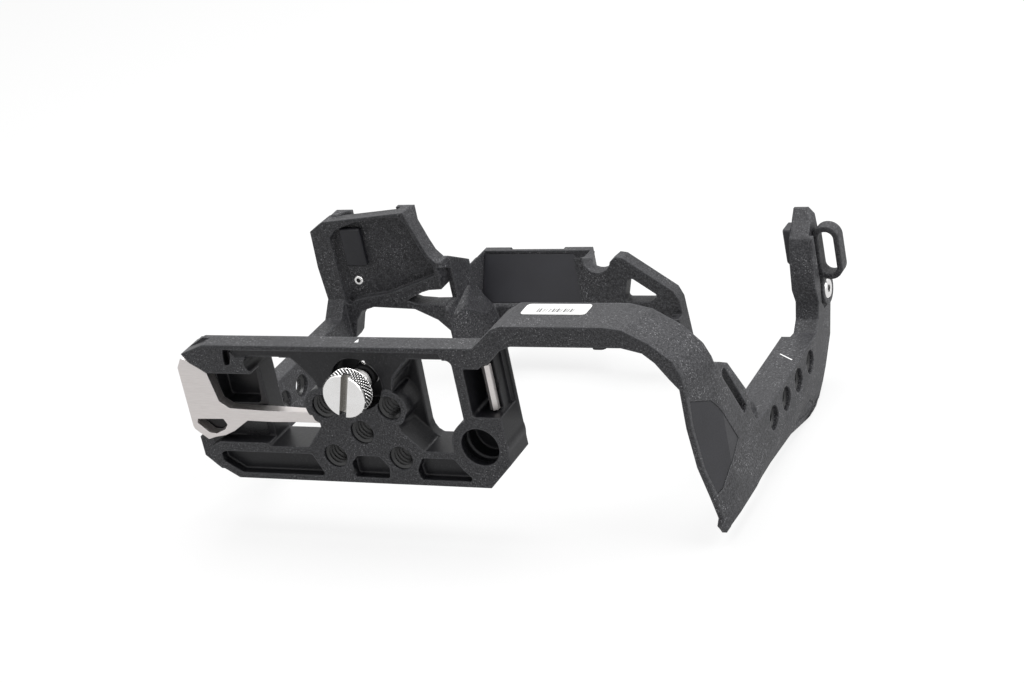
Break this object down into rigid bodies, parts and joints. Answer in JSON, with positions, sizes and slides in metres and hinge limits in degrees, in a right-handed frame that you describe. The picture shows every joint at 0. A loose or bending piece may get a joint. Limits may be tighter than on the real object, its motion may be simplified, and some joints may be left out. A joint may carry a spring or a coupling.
{
  "type": "camera cage",
  "caption": "Milled black cage for a mirrorless camera, with a dovetail base, threaded rail, cold shoe, captive screw, tool bay and strap loop.",
  "frame": {"origin": "centre of the middle tripod hole on the outer face of the bottom plate", "axes": "+X from the strut side to the grip side, +Y from the bottom plate up to the hood, +Z from the lens side to the screen side"},
  "size_m": [0.1503, 0.1134, 0.0608],
  "materials": {
    "black_anodised": "bead blasted, black anodised",
    "nickel": "bright nickel plate",
    "satin_steel": "satin",
    "dark_steel": "black oxide",
    "magnet": "nickel plated magnet",
    "rubber": "smooth, matte",
    "label_film": "plain white film"
  },
  "bodies": {
    "frame": {"base_plate": "black_anodised", "rear_arm": "black_anodised", "palm_plate": "black_anodised", "side_rail": "black_anodised", "grip_finger": "black_anodised", "left_strut": "black_anodised", "left_shoulder": "black_anodised", "hump_hood": "black_anodised", "front_wing": "black_anodised", "driver_magnet": "magnet", "key_magnet": "magnet", "palm_inlay": "rubber", "hump_pad": "rubber", "shoulder_pad": "rubber", "finger_pad": "rubber", "arm_pad": "rubber", "shoulder_screw": "nickel", "strap_lug": "black_anodised", "lug_screw": "nickel", "label": "label_film"},
    "ring": {"screw_ring": "dark_steel"},
    "screw": {"camera_screw": "nickel"},
    "driver": {"flat_driver": "satin_steel"},
    "key": {"hex_key": "satin_steel"}
  },
  "joints": [
    {"name": "screw_slide", "type": "slide", "parent": "frame", "child": "ring", "axis": [0, 1, 0], "range_m": [-0.001, 0.0064]},
    {"name": "screw_spin", "type": "hinge", "parent": "ring", "child": "screw", "pos_m": [0.0016, 0, 0.0134], "axis": [0, 1, 0], "continuous": true},
    {"name": "driver_slide", "type": "slide", "parent": "frame", "child": "driver", "axis": [-1, 0, 0], "range_m": [0, 0.045]},
    {"name": "key_slide", "type": "slide", "parent": "frame", "child": "key", "axis": [1, 0, 0], "range_m": [0, 0.012]}
  ]
}
